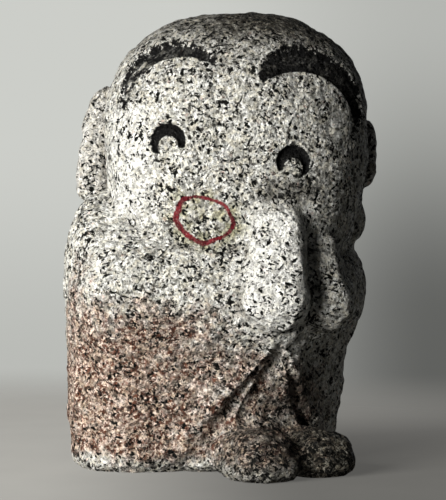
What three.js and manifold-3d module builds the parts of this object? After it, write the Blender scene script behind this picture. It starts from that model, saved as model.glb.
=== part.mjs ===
import * as THREE from "three";
import { mergeVertices } from "three/addons/utils/BufferGeometryUtils.js";
import Module from "manifold-3d";

const wasm = await Module();
wasm.setup();

// A small praying child figure, carved from one block of speckled granite: a big round head turned
// to its right, long ears, hands pressed together under the chin, sleeves that fall from them to
// the floor, and two blunt feet under the hem.
// Millimetres, +Z up. The hands and feet face -Y, so the figure's own right side is -X.

// The driving dimension. The pose, the proportions and the carving are shares of it: one unit is
// a 230th of the height.
const statueHeight = 230;
const unit = statueHeight / 230;

// The block
const bodyWidth = 153 * unit;
const baseTaper = 3 * unit; // how much narrower each side stands at the floor than at the elbows
const backDepth = 46 * unit; // from the carver's axis back to the flat of the back
const prowDepth = 78 * unit; // from the axis forward to the front of the uncut plan
const sleeveTurn = 30; // degrees that each sleeve's broad face turns away from the front
const sleeveOut = { hem: 48.5 * unit, elbow: 58 * unit, chest: 25 * unit }; // from the axis to it
const sleeveRound = 20 * unit; // how softly a sleeve's face turns into the side
const chestBottom = 97 * unit; // the face slopes back from here, up to under the head
const chestTop = 152 * unit;
const frontShift = 8 * unit; // of the middle of the front, to the figure's left of the axis
const frontRound = 6 * unit; // where the two sleeves' faces meet
const shoulderHeight = 162 * unit;
const shoulderRound = 58 * unit;
const leftShoulder = { across: 58 * unit, forward: 28 * unit, up: 125 * unit, radius: 16 * unit };
const baseRound = 6 * unit; // worn round edge where the block meets the floor
const swell = 0.5 * unit; // of the uneven dressing, either way
const swellLength = 13 * unit;
const planSquareness = 3.4; // exponent of the plan outline: 2 is an ellipse, more is squarer

// The head
const headWidth = 134 * unit;
const headLength = 117 * unit; // forehead to nape
const crownRise = 56 * unit; // widest level up to the crown
const chinDrop = 98 * unit; // widest level down to the chin
const crownSquareness = 2.25;
const crownLean = 0.015; // how far the crown leans to the face's left for each millimetre up
const jawSquareness = 2.4;
const headAcross = 9 * unit; // of its middle, to the figure's left of the axis
const headForward = 11 * unit;
const faceTurn = 30; // degrees that the face turns to the figure's right

// The ears: long flat lobes. Each is placed from the head's middle, in the face's own frame.
const earThickness = 17 * unit;
const earSquareness = 3;
const rightEar = {
  out: 69 * unit, up: -10 * unit, back: 16 * unit, halfHeight: 31 * unit, halfWidth: 12 * unit, lean: 11,
};
const leftEar = {
  out: 63 * unit, up: -14 * unit, back: 8 * unit, halfHeight: 19 * unit, halfWidth: 10 * unit, lean: 0,
};

// The arms and the joined hands
const elbowHeight = 84 * unit;
const rightElbow = { across: -55 * unit, forward: 14 * unit, up: elbowHeight, radius: 18 * unit };
const leftElbow = { across: 57 * unit, forward: 16 * unit, up: elbowHeight + 7 * unit, radius: 21 * unit };
const wrist = { forward: 56 * unit, up: 88 * unit, radius: 15 * unit };
const handHeight = 61 * unit; // heel of the hand to the fingertips
const handBottom = 70 * unit;
const palmsAcross = 15 * unit; // the join between the palms, to the figure's left of the axis
const fingerSlope = 3 * unit; // how far the fingertips lean back from the heels of the hands
const rightHand = { width: 33 * unit, tipWidth: 25 * unit, front: 66 * unit, drop: 0 };
const leftHand = { width: 26 * unit, tipWidth: 20 * unit, front: 65 * unit, drop: 14 * unit };
const handSquareness = 3.4; // of a level cut through a hand
const handTurn = 38; // degrees that the flat of each hand turns to the figure's right

// The robe: the sleeves part in front, and show the folds of the skirt between them. Across the
// opening, places are shares of its half width: 0 at the middle, 1 at a sleeve's edge.
const openingTop = 70 * unit; // height at which the two sleeves meet under the hands
const openingTurn = 77; // degrees that each sleeve draws aside by the time it meets the floor
const openingCurve = 1.45; // 1 draws it aside evenly all the way down, more starts slowly
const hem = { lip: 1.4 * unit, crease: 3.9 * unit, crest: 0.8 * unit, valley: 4 * unit };
const hemAt = { lipEnd: 1.5, lip: 1.12, crease: 0.9, crest: 0.66, valley: 0.3 };

// The feet
const footWidth = 38 * unit;
const footSquareness = 2.4;
const rightFoot = { across: -9 * unit, toe: 86 * unit, length: 50 * unit, height: 24 * unit };
const leftFoot = { across: 23 * unit, toe: 84 * unit, length: 40 * unit, height: 22 * unit };

// The carved face, in the plane that the face looks out of. A brow's arc has its middle at across
// and up from the head's middle, and runs from its tail to its root. An eye is a round, open below
// from one turn to another, with a smaller round taken out of it lower down. Turns are in degrees.
const cutStart = 12 * unit; // the cuts stay this far ahead of the ears
const browDepth = 4 * unit;
const browEnds = 0.6; // how bluntly a brow ends: 1 is a point, less is blunter
const rightBrow = {
  across: -27.5 * unit, up: 2 * unit, radius: 26.5 * unit, tail: 178, root: 50, width: 9 * unit,
  swellsAt: 1,
};
const leftBrow = {
  across: 30.5 * unit, up: -6.5 * unit, radius: 27.5 * unit, tail: 0, root: 131, width: 13 * unit,
  swellsAt: 0.6,
};
const eyeDepth = 2.2 * unit;
const rightEye = {
  across: -33.6 * unit, up: -12.8 * unit, radius: 8.6 * unit, from: -17, to: 223, hollow: 5 * unit,
  hollowDrop: 2.5 * unit,
};
const leftEye = {
  across: 26.6 * unit, up: -22.8 * unit, radius: 8.2 * unit, from: -50, to: 213, hollow: 4.7 * unit,
  hollowDrop: 3 * unit,
};

// How softly the masses run together
const chinBlend = 7 * unit;
const earBlend = 3 * unit;
const armBlend = 24 * unit;
const palmBlend = 2 * unit;
const handBlend = 7 * unit;
const footBlend = 13 * unit;
const toeBlend = 7 * unit;

// The mesh: its columns are closest towards the face, and below the chin they run with the sleeves
const columns = 68;
const columnBias = 0.42;
const closestTurn = -22; // degrees from the front
const crownRows = 12;
const cheekRows = 16;
const robeRows = 22;
const cheekBottom = 106 * unit;
const edgeTurn = 44; // degrees from the front: the column that runs down a sleeve's edge
const narrowestTurn = 9; // how near that column comes to the front under the hands
const edgeSnap = 1.6; // degrees: less than half the step between columns
const arcSteps = 12; // along a brow or an eye
const meshAxis = 12 * unit; // the rays that find the surface start this far ahead of the carver's axis
const farthest = 130 * unit; // farther from that start than any part of the block
const coarseSteps = 90;
const fineSteps = 14;

const radians = THREE.MathUtils.degToRad;
const degrees = THREE.MathUtils.radToDeg;
const { clamp, lerp, smoothstep } = THREE.MathUtils;
const headCentre = new THREE.Vector3(headAcross, -headForward, statueHeight - crownRise);

// Joins two distances with a fillet of about the size given
function softUnion(a, b, size) {
  const near = Math.max(size - Math.abs(a - b), 0) / size;
  return Math.min(a, b) - (near * near * size) / 4;
}

// Keeps what is inside both of two forms, with the corner between them rounded off
function roundedCorner(a, b, radius) {
  const outside = Math.hypot(Math.max(a + radius, 0), Math.max(b + radius, 0));
  return Math.min(Math.max(a, b) + radius, 0) + outside - radius;
}

// A round body with its sides flattened: each span is a distance from the middle and its limit
function squareRound(squareness, ...spans) {
  const sum = spans.reduce((total, [at, half]) => total + Math.abs(at / half) ** squareness, 0);
  const scaled = sum ** (1 / squareness);
  return Math.hypot(...spans.map(([at]) => at)) * (1 - 1 / Math.max(scaled, 1e-6));
}

// A limb from one point to another, whose radius runs from one value to the other. Its level
// cuts are round, or squared with a flat that is turned aside.
function limb(x, y, z, start, end, startRadius, endRadius, squareness = 2, turn = 0) {
  const axis = [end[0] - start[0], end[1] - start[1], end[2] - start[2]];
  const from = [x - start[0], y - start[1], z - start[2]];
  const along = (from[0] * axis[0] + from[1] * axis[1] + from[2] * axis[2]) /
    (axis[0] ** 2 + axis[1] ** 2 + axis[2] ** 2);
  const t = clamp(along, 0, 1);
  const [dx, dy, dz] = from.map((part, i) => part - t * axis[i]);
  const across = Math.abs(dx * Math.cos(turn) - dy * Math.sin(turn));
  const ahead = Math.abs(dx * Math.sin(turn) + dy * Math.cos(turn));
  const level = (across ** squareness + ahead ** squareness) ** (1 / squareness);
  return Math.hypot(level, dz) - lerp(startRadius, endRadius, t);
}

// The plan is a soft block with a flat back, cut in front by the two broad faces of the sleeves
function robe(x, y, z) {
  const rise = smoothstep(z, 0, elbowHeight);
  const halfWidth = bodyWidth / 2 - baseTaper * (1 - rise);
  const halfDepth = (prowDepth + backDepth) / 2;
  const middle = (backDepth - prowDepth) / 2;
  const side = squareRound(planSquareness, [x, halfWidth], [y - middle, halfDepth]);
  const out = lerp(lerp(sleeveOut.hem, sleeveOut.elbow, rise), sleeveOut.chest,
    smoothstep(z, chestBottom, chestTop));
  const turn = radians(sleeveTurn);
  const sleeve = Math.hypot(x - frontShift, frontRound) * Math.sin(turn) - y * Math.cos(turn) - out;
  return roundedCorner(roundedCorner(side, sleeve, sleeveRound), z - shoulderHeight, shoulderRound);
}

// The face's own frame: across to the viewer's right, up, and out of the face
function faceFrame(x, y, z) {
  const turn = radians(faceTurn);
  const dx = x - headCentre.x;
  const dy = y - headCentre.y;
  return {
    across: dx * Math.cos(turn) - dy * Math.sin(turn),
    up: z - headCentre.z,
    out: -dx * Math.sin(turn) - dy * Math.cos(turn),
  };
}

function skull({ across, up, out }) {
  const rise = up > 0 ? crownRise : chinDrop;
  const squareness = lerp(crownSquareness, jawSquareness, smoothstep(-up, 0, chinDrop / 3));
  const leant = across - crownLean * Math.max(up, 0);
  return squareRound(squareness, [leant, headWidth / 2], [up, rise], [out, headLength / 2]);
}

function ear({ across, up, out }, side, shape) {
  const lean = radians(shape.lean);
  const dx = side * across - shape.out;
  const dz = up - shape.up;
  return squareRound(
    earSquareness,
    [dx * Math.cos(lean) + dz * Math.sin(lean), shape.halfWidth],
    [out + shape.back, earThickness / 2],
    [dz * Math.cos(lean) - dx * Math.sin(lean), shape.halfHeight],
  );
}

function hand(x, y, z, side, shape) {
  const heelRadius = shape.width / 2;
  const tipRadius = shape.tipWidth / 2;
  const heel = [palmsAcross + side * heelRadius, -shape.front, handBottom + heelRadius];
  const tips = [
    palmsAcross + side * tipRadius, fingerSlope - shape.front,
    handBottom + handHeight - shape.drop - tipRadius,
  ];
  return limb(x, y, z, heel, tips, heelRadius, tipRadius, handSquareness, radians(handTurn));
}

function forearm(x, y, z, side, elbow) {
  const from = [elbow.across, -elbow.forward, elbow.up];
  const to = [palmsAcross + side * wrist.radius, -wrist.forward, wrist.up];
  return limb(x, y, z, from, to, elbow.radius, wrist.radius);
}

function foot(x, y, z, shape) {
  const middle = shape.length / 2 - shape.toe;
  return squareRound(
    footSquareness, [x - shape.across, footWidth / 2], [y - middle, shape.length / 2], [z, shape.height],
  );
}

// The middle of the figure at a height, from which turns are counted
function middleAt(z) {
  const share = clamp(z / headCentre.z, 0, 1);
  return [headCentre.x * share, lerp(-meshAxis, headCentre.y, share)];
}

// How far the sleeves stand open at a height, in degrees on either side of the front
function openingAt(z) {
  return openingTurn * Math.max(1 - z / openingTop, 0) ** openingCurve;
}

// How deep the robe is cut back between the sleeves: a lip, a crease, a fold's crest and a valley
function openingCut(x, y, z) {
  const opening = openingAt(z);
  if (opening <= 0) return 0;
  const middle = middleAt(z);
  const share = degrees(Math.abs(Math.atan2(x - middle[0], middle[1] - y))) / opening;
  const lip = -hem.lip * smoothstep(share, 1, hemAt.lip) * (1 - smoothstep(share, hemAt.lip, hemAt.lipEnd));
  const crease = hem.crease * smoothstep(-share, -1, -hemAt.crease);
  const crest = (hem.crest - hem.crease) * smoothstep(-share, -hemAt.crease, -hemAt.crest);
  const valley = (hem.valley - hem.crest) * smoothstep(-share, -hemAt.crest, -hemAt.valley);
  return (lip + crease + crest + valley) * smoothstep(opening, 0, narrowestTurn);
}

// The block was dressed by hand: slow swells run over every face
function unevenness(x, y, z) {
  const a = x / swellLength;
  const b = y / swellLength;
  const c = z / swellLength;
  const long = Math.sin(a + 0.42 * c + 0.6) * Math.sin(1.08 * b - 0.48 * c + 1.9) * Math.sin(0.93 * c + 0.4);
  const short = Math.sin(2.13 * a + 2) * Math.sin(1.94 * b + c) * Math.sin(1.78 * c + 1.1);
  return swell * (long + short / 2);
}

// Distance to the statue's surface, below zero inside the stone
function stone(x, y, z) {
  const face = faceFrame(x, y, z);
  const arms = softUnion(forearm(x, y, z, -1, rightElbow), forearm(x, y, z, 1, leftElbow), armBlend);
  const shoulder = Math.hypot(
    x - leftShoulder.across, y + leftShoulder.forward, z - leftShoulder.up,
  ) - leftShoulder.radius;
  const dressed = softUnion(softUnion(robe(x, y, z), arms, armBlend), shoulder, handBlend) +
    openingCut(x, y, z);
  const hands = softUnion(hand(x, y, z, -1, rightHand), hand(x, y, z, 1, leftHand), palmBlend);
  const feet = softUnion(foot(x, y, z, rightFoot), foot(x, y, z, leftFoot), toeBlend);
  const ears = Math.min(ear(face, -1, rightEar), ear(face, 1, leftEar));
  const head = softUnion(skull(face), ears, earBlend);
  let body = softUnion(dressed, head, chinBlend);
  body = softUnion(body, hands, handBlend);
  body = softUnion(body, feet, footBlend);
  const low = Math.max(baseRound - z, 0);
  return body + unevenness(x, y, z) + baseRound - Math.sqrt(baseRound ** 2 - low ** 2);
}

// Walks in along a ray from outside the block, then halves the last step to meet the surface,
// or a surface that lies deeper by the inset
function surfaceAt(start, way, inset) {
  const at = (t) => stone(start[0] + t * way[0], start[1] + t * way[1], start[2] + t * way[2]) + inset;
  const step = farthest / coarseSteps;
  let outer = farthest;
  while (outer > step && at(outer - step) > 0) outer -= step;
  let inner = Math.max(outer - step, 0);
  for (let i = 0; i < fineSteps; i++) {
    const middle = (inner + outer) / 2;
    if (at(middle) > 0) outer = middle;
    else inner = middle;
  }
  return start.map((part, i) => part + outer * way[i]);
}

// Where each row's rays start and how steeply they rise, from the crown down to the floor
function rayRows() {
  const rows = [];
  for (let i = 1; i <= crownRows; i++) {
    rows.push({ height: headCentre.z, elevation: lerp(90, 0, i / crownRows) });
  }
  for (let i = 1; i <= cheekRows; i++) {
    rows.push({ height: lerp(headCentre.z, cheekBottom, i / cheekRows), elevation: 0 });
  }
  for (let i = 1; i <= robeRows; i++) {
    rows.push({ height: lerp(cheekBottom, 0, i / robeRows), elevation: 0 });
  }
  return rows;
}

// The way a column of the mesh faces on the head. One column on either side is set apart, to run
// down the edge of a sleeve.
function columnTurn(column) {
  const even = (2 * Math.PI * column) / columns - Math.PI / 2;
  const round = even - columnBias * Math.sin(even - radians(closestTurn));
  const turn = THREE.MathUtils.euclideanModulo(round + Math.PI, 2 * Math.PI) - Math.PI;
  const gap = Math.abs(turn) - radians(edgeTurn);
  return Math.abs(gap) < radians(edgeSnap) ? Math.sign(turn) * radians(edgeTurn) : turn;
}

// Below the chin the columns run with the sleeves' edges: close together under the hands, then apart
function robeTurn(turn, z) {
  const above = lerp(narrowestTurn, edgeTurn, smoothstep(z, openingTop, cheekBottom));
  const edge = z < openingTop ? Math.max(openingAt(z), narrowestTurn) : above;
  const side = degrees(Math.abs(turn));
  const drawn = side < edgeTurn
    ? (side * edge) / edgeTurn
    : lerp(edge, 180, (side - edgeTurn) / (180 - edgeTurn));
  return Math.sign(turn) * radians(drawn);
}

// The closed skin of the stone, or of a stone that is smaller all round by the inset
function skinGeometry(inset) {
  const rows = rayRows();
  const skin = new THREE.SphereGeometry(1, columns, rows.length + 1);
  const position = skin.getAttribute("position");
  for (let row = 0; row <= rows.length + 1; row++) {
    for (let column = 0; column <= columns; column++) {
      let point = [...middleAt(0), 0];
      if (row === 0) {
        point = surfaceAt(headCentre.toArray(), [0, 0, 1], inset);
      } else if (row <= rows.length) {
        const { height, elevation } = rows[row - 1];
        const turn = height < cheekBottom ? robeTurn(columnTurn(column), height) : columnTurn(column);
        const flat = Math.cos(radians(elevation));
        const way = [Math.sin(turn) * flat, -Math.cos(turn) * flat, Math.sin(radians(elevation))];
        point = surfaceAt([...middleAt(height), height], way, inset);
      }
      position.setXYZ(row * (columns + 1) + column, point[0], point[1], row > rows.length ? 0 : point[2]);
    }
  }
  return skin;
}

// A brow lies between a round arc and a second edge that swells away from it and comes back
function browShape(brow) {
  const shape = new THREE.Shape();
  const clockwise = brow.tail > brow.root;
  shape.absarc(brow.across, brow.up, brow.radius, radians(brow.tail), radians(brow.root), clockwise);
  for (let i = arcSteps - 1; i > 0; i--) {
    const along = i / arcSteps;
    const turn = radians(lerp(brow.tail, brow.root, along));
    const radius = brow.radius + brow.width * Math.sin(Math.PI * (1 - along) ** brow.swellsAt) ** browEnds;
    shape.lineTo(brow.across + radius * Math.cos(turn), brow.up + radius * Math.sin(turn));
  }
  return shape;
}

// An eye is a crescent, thickest at the top
function eyeShape(eye) {
  const shape = new THREE.Shape();
  shape.absarc(eye.across, eye.up, eye.radius, radians(eye.from), radians(eye.to), false);
  shape.absarc(eye.across, eye.up - eye.hollowDrop, eye.hollow, radians(eye.to), radians(eye.from), true);
  return shape;
}

// A closed mesh becomes a solid once the corners that its faces share are merged
function toSolid(geometry) {
  geometry.deleteAttribute("normal");
  geometry.deleteAttribute("uv");
  const merged = mergeVertices(geometry, 1e-3);
  return new wasm.Manifold(new wasm.Mesh({
    numProp: 3,
    vertProperties: new Float32Array(merged.getAttribute("position").array),
    triVerts: new Uint32Array(merged.index.array),
  }));
}

// The stone that is cut away for an outline on the face: down to an even depth under the surface
function faceCut(shape, kept) {
  const geometry = new THREE.ExtrudeGeometry(
    shape, { depth: farthest, bevelEnabled: false, curveSegments: arcSteps },
  );
  const turn = radians(faceTurn);
  geometry.translate(0, 0, cutStart);
  geometry.applyMatrix4(new THREE.Matrix4().makeBasis(
    new THREE.Vector3(Math.cos(turn), -Math.sin(turn), 0),
    new THREE.Vector3(0, 0, 1),
    new THREE.Vector3(-Math.sin(turn), -Math.cos(turn), 0),
  ).setPosition(headCentre));
  return toSolid(geometry).subtract(kept);
}

// The finished stone, with the middle of its base at the origin
function carvedGeometry() {
  const belowBrows = toSolid(skinGeometry(browDepth));
  const belowEyes = toSolid(skinGeometry(eyeDepth));
  const carved = toSolid(skinGeometry(0))
    .subtract(faceCut(browShape(rightBrow), belowBrows))
    .subtract(faceCut(browShape(leftBrow), belowBrows))
    .subtract(faceCut(eyeShape(rightEye), belowEyes))
    .subtract(faceCut(eyeShape(leftEye), belowEyes))
    .getMesh();
  const geometry = new THREE.BufferGeometry();
  geometry.setAttribute("position", new THREE.BufferAttribute(carved.vertProperties, 3));
  geometry.setIndex(new THREE.BufferAttribute(carved.triVerts, 1));
  geometry.computeBoundingBox();
  const { min, max } = geometry.boundingBox;
  geometry.translate(-(min.x + max.x) / 2, -(min.y + max.y) / 2, 0);
  geometry.computeVertexNormals();
  return geometry;
}

const granite = new THREE.MeshStandardMaterial({ color: 0xc9c4bc, roughness: 0.85, metalness: 0 });
const statue = new THREE.Mesh(carvedGeometry(), granite);
statue.name = "jizo_statue";

const group = new THREE.Group();
group.add(statue);
export default group;
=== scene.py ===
import itertools
import math

import bmesh
import bpy
import numpy as np
from bpy.props import FloatProperty, FloatVectorProperty, PointerProperty
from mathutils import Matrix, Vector


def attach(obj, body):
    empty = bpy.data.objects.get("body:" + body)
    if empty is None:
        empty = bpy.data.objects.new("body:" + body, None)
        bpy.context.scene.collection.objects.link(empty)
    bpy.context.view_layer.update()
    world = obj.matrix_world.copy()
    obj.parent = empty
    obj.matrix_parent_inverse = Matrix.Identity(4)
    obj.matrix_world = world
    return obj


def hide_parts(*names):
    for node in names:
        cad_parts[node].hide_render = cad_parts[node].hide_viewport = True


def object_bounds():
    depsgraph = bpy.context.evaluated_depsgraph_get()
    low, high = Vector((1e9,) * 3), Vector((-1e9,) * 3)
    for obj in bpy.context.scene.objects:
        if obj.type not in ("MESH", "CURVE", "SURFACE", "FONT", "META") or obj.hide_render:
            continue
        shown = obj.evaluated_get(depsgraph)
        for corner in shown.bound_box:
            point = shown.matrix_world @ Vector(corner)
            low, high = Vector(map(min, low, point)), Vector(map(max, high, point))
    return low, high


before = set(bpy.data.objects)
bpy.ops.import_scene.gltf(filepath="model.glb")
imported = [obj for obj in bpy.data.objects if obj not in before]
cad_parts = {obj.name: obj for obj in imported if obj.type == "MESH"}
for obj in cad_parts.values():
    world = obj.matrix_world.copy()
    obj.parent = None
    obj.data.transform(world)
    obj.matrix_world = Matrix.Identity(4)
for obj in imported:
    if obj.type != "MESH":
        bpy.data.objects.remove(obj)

CAD_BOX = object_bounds()

bl_info = {
    "name": "Carved praying child in granite",
    "version": (1, 0, 0),
    "blender": (4, 5, 0),
    "location": "3D View > Sidebar > Statue",
    "description": "Carves the statue from its solid, finishes the granite and sets the stage",
    "category": "Object",
}

# The carving. Every length is in millimetres for a statue 230 high, measured from the carver's
# own upright axis, with the figure's front towards -Y.
HEIGHT = 229.826
AXIS = np.array([-1.5945, 16.7113, 0.0])  # where that axis stands in the finished part

BODY_WIDTH = 153
BASE_TAPER = 3
BACK_DEPTH = 46
PROW_DEPTH = 78
PLAN_SQUARENESS = 3.4
SLEEVE_TURN = math.radians(30)
SLEEVE_OUT = {"hem": 48.5, "elbow": 58, "chest": 25}
SLEEVE_ROUND = 20
CHEST = (97, 152)
FRONT_SHIFT = 8
FRONT_ROUND = 6
SHOULDER_HEIGHT = 162
SHOULDER_ROUND = 58
LEFT_SHOULDER = {"middle": (58, -28, 125), "radius": 16}
BASE_ROUND = 6
SWELL = 0.5
SWELL_LENGTH = 13

HEAD = (9, -11, 174)
HEAD_WIDTH = 134
HEAD_LENGTH = 117
CROWN_RISE = 56
CHIN_DROP = 98
CROWN_SQUARENESS = 2.25
CROWN_LEAN = 0.015
JAW_SQUARENESS = 2.4
FACE_TURN = math.radians(30)

EAR_THICKNESS = 17
EAR_SQUARENESS = 3
EARS = (
    {"side": -1, "out": 69, "up": -10, "back": 16, "tall": 31, "wide": 12, "lean": math.radians(11)},
    {"side": 1, "out": 63, "up": -14, "back": 8, "tall": 19, "wide": 10, "lean": 0},
)

ELBOWS = (
    {"side": -1, "at": (-55, -14, 84), "radius": 18},
    {"side": 1, "at": (57, -16, 91), "radius": 21},
)
WRIST = {"forward": 56, "up": 88, "radius": 15}
HAND_HEIGHT = 61
HAND_BOTTOM = 70
PALMS_ACROSS = 15
FINGER_SLOPE = 3
HANDS = (
    {"side": -1, "heel": 16.5, "tip": 12.5, "front": 66, "drop": 0},
    {"side": 1, "heel": 13, "tip": 10, "front": 65, "drop": 14},
)
HAND_SQUARENESS = 3.4
HAND_TURN = math.radians(38)

OPENING_TOP = 70
OPENING_TURN = 77
OPENING_CURVE = 1.45
NARROWEST_TURN = 9
HEM_LIP = (1.12, 1.5, 1.4)  # where it peaks and ends, and how proud it stands
HEM_STEPS = ((1, 0), (0.86, 3.9), (0.64, 0.8), (0.3, 4))  # a crease, a crest and a valley

FOOT_WIDTH = 38
FOOT_SQUARENESS = 2.4
FEET = (
    {"across": -9, "toe": 86, "length": 50, "height": 24},
    {"across": 23, "toe": 84, "length": 40, "height": 22},
)

CHIN_BLEND, EAR_BLEND, ARM_BLEND, PALM_BLEND, HAND_BLEND = 7, 3, 24, 2, 7
FOOT_BLEND, TOE_BLEND = 13, 7
CREASE_REACH = 5  # how far a crease reaches from where two masses meet: the pecks run deeper there, and painted shade darkens it

# The cuts on the face, across and up from the head's middle
CUT_START = 12
BROW_ENDS = 0.6
BROWS = (
    {"middle": (-27.5, 2), "radius": 26.5, "tail": 178, "root": 50, "width": 9, "swells_at": 1},
    {"middle": (30.5, -6.5), "radius": 27.5, "tail": 0, "root": 131, "width": 13, "swells_at": 0.6},
)
EYES = (
    {"middle": (-33.6, -12.8), "radius": 8.6, "from": -17, "to": 223, "hollow": 5, "drop": 2.5},
    {"middle": (26.6, -22.8), "radius": 8.2, "from": -50, "to": 213, "hollow": 4.7, "drop": 3},
)
MOUTH = {"middle": (-16.3, -50.2), "wide": 13.8, "tall": 10.5, "tilt": math.radians(-14),
         "thin": 0.9, "thick": 1.45, "thick_towards": math.radians(222)}
FAR_FROM_FACE = 40  # what a distance on the face counts as anywhere else

# The rays that find the surface, and the skin of quads that they lay on it
RAY_START = 12
FARTHEST = 130
SKIN_COLUMNS = 168
SKIN_ROWS = 132
CROWN_ROWS = 44
FINE_REACH = 2.6  # how far from a line on the face the skin is split finer

# The point tool's dressing: the size, depth and number of each pattern of dents and chips
DENTS = ((4.4, 0.9, 5), (7.6, 0.9, 6))
CHIPS = ((4.1, 0.6, 7), (7.3, 0.8, 8), (13, 1.2, 9))
DRESSING = {"face": 0.5, "toes": 1.5, "fold": 0.8, "lift": 0.15, "crease": 0.9, "painted": 0.5}

# The cuts of the brows and eyes: where their edges end, and what is left of the depth
BROW_EDGE = (-0.1, 0.9)
EYE_EDGE = (-0.2, 1.2)
BROW_SHALLOW = {"top": 0.22, "bend": 1.1, "root": 0.3}
BROW_WEAR = (0.75, 0.12)  # by the first brow's tail, and elsewhere
BROW_WEAR_ALONG = (0.3, 0.65)
PAINT_EDGE = (-1.0, 0.5)

# The stain: its upper edge falls across the robe and behind it, and drifts
STAIN = {
    "top": 91, "fall": 0.22, "fall_from": -60, "below": 30, "above": 20,
    "back": (-14, 30), "back_fall": 18, "waist": (40, 62),
    "side_low": (26, 80), "side_high": (0, 52), "thin": 0.68, "thin_from": (-45, 10),
    "foot": 0.25, "foot_band": (2, 13), "foot_drift": 0.3,
}
STAIN_DRIFT = ((26, 9, 11), (11, 6, 12), (5, 4, 14))
BACK_DRIFT = ((38, 16, 17),)

# Where grime settles and where shade is painted into the stone's colour, and how much of each
CROWN_GRIME_AND_SHADE = {"height": (150, 190), "slant": (0.05, 0.5), "flat": (0.45, 0.85), "across": (-38, 4)}
TOE_GRIME_AND_SHADE = {"out": (40, 58), "up": (34, 60), "across": (-16, 16), "least": 0.7}
FOLD_SHADE = {"cut": (0.0, 1.6), "share": 0.28}
CREASE_SHADE = (0.2, 0.8)
CHEEK_SHADE = {
    "middle": (24, -37), "reach": (17, 9), "fade": (0.3, 1.3), "out": (20, 34), "share": 0.75,
}
EAR_GRIME = 0.05

# Painted light: the stone made paler where the light falls on the first hand and the first cheek's rim,
# and paler at the first ear's top
HAND_LIGHT = {"reach": (1, 10), "across": (-44, -36), "share": 0.55}
CHEEK_RIM_LIGHT = {
    "across": (34, 50), "edge": (62, 66), "down": (-12, 4), "up": (-66, -46), "share": 0.5,
}
EAR_TOP_PALER = 0.3


def smooth(value, low, high):
    share = np.clip((value - low) / (high - low), 0, 1)
    return share * share * (3 - 2 * share)


def mix(a, b, share):
    return a + (b - a) * share


def soft_union(a, b, size):
    near = np.maximum(size - np.abs(a - b), 0) / size
    return np.minimum(a, b) - near * near * size / 4


def rounded_corner(a, b, radius):
    outside = np.hypot(np.maximum(a + radius, 0), np.maximum(b + radius, 0))
    return np.minimum(np.maximum(a, b) + radius, 0) + outside - radius


def square_round(squareness, *spans):
    total = sum(np.abs(at / half) ** squareness for at, half in spans)
    scaled = total ** (1 / squareness)
    length = np.sqrt(sum(at ** 2 for at, _ in spans))
    return length * (1 - 1 / np.maximum(scaled, 1e-6))


def limb(points, start, end, start_radius, end_radius, squareness=2, turn=0):
    start, end = np.array(start, float), np.array(end, float)
    axis = end - start
    along = np.clip((points - start) @ axis / (axis @ axis), 0, 1)
    dx, dy, dz = (points - start - along[:, None] * axis).T
    across = np.abs(dx * math.cos(turn) - dy * math.sin(turn))
    ahead = np.abs(dx * math.sin(turn) + dy * math.cos(turn))
    level = (across ** squareness + ahead ** squareness) ** (1 / squareness)
    return np.hypot(level, dz) - mix(start_radius, end_radius, along)


def face_frame(points):
    """Across to the viewer's right, up, and out of the face, from the head's middle."""
    from_head = points - np.array(HEAD, float)
    dx, dy, up = from_head.T
    across = dx * math.cos(FACE_TURN) - dy * math.sin(FACE_TURN)
    out = -dx * math.sin(FACE_TURN) - dy * math.cos(FACE_TURN)
    return across, up, out


def robe(points):
    x, y, z = points.T
    rise = smooth(z, 0, 84)
    half_width = BODY_WIDTH / 2 - BASE_TAPER * (1 - rise)
    half_depth = (PROW_DEPTH + BACK_DEPTH) / 2
    middle = (BACK_DEPTH - PROW_DEPTH) / 2
    side = square_round(PLAN_SQUARENESS, (x, half_width), (y - middle, half_depth))
    low = mix(SLEEVE_OUT["hem"], SLEEVE_OUT["elbow"], rise)
    out = mix(low, SLEEVE_OUT["chest"], smooth(z, *CHEST))
    across = np.hypot(x - FRONT_SHIFT, FRONT_ROUND)
    sleeve = across * math.sin(SLEEVE_TURN) - y * math.cos(SLEEVE_TURN) - out
    wall = rounded_corner(side, sleeve, SLEEVE_ROUND)
    return rounded_corner(wall, z - SHOULDER_HEIGHT, SHOULDER_ROUND)


def skull(across, up, out):
    rise = np.where(up > 0, CROWN_RISE, CHIN_DROP)
    squareness = mix(CROWN_SQUARENESS, JAW_SQUARENESS, smooth(-up, 0, CHIN_DROP / 3))
    leant = across - CROWN_LEAN * np.maximum(up, 0)
    return square_round(squareness, (leant, HEAD_WIDTH / 2), (up, rise), (out, HEAD_LENGTH / 2))


def ear(across, up, out, shape):
    dx = shape["side"] * across - shape["out"]
    dz = up - shape["up"]
    turn = shape["lean"]
    x = dx * math.cos(turn) + dz * math.sin(turn)
    z = dz * math.cos(turn) - dx * math.sin(turn)
    y = out + shape["back"]
    return square_round(EAR_SQUARENESS, (x, shape["wide"]), (y, EAR_THICKNESS / 2), (z, shape["tall"]))


def hand(points, shape):
    heel = (PALMS_ACROSS + shape["side"] * shape["heel"], -shape["front"], HAND_BOTTOM + shape["heel"])
    tips = (
        PALMS_ACROSS + shape["side"] * shape["tip"],
        FINGER_SLOPE - shape["front"],
        HAND_BOTTOM + HAND_HEIGHT - shape["drop"] - shape["tip"],
    )
    return limb(points, heel, tips, shape["heel"], shape["tip"], HAND_SQUARENESS, HAND_TURN)


def forearm(points, elbow):
    wrist = (PALMS_ACROSS + elbow["side"] * WRIST["radius"], -WRIST["forward"], WRIST["up"])
    return limb(points, elbow["at"], wrist, elbow["radius"], WRIST["radius"])


def foot(points, shape):
    x, y, z = points.T
    middle = shape["length"] / 2 - shape["toe"]
    return square_round(
        FOOT_SQUARENESS,
        (x - shape["across"], FOOT_WIDTH / 2), (y - middle, shape["length"] / 2), (z, shape["height"]),
    )


def middle_at(z):
    share = np.clip(z / HEAD[2], 0, 1)
    return HEAD[0] * share, mix(-RAY_START, HEAD[1], share)


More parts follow.
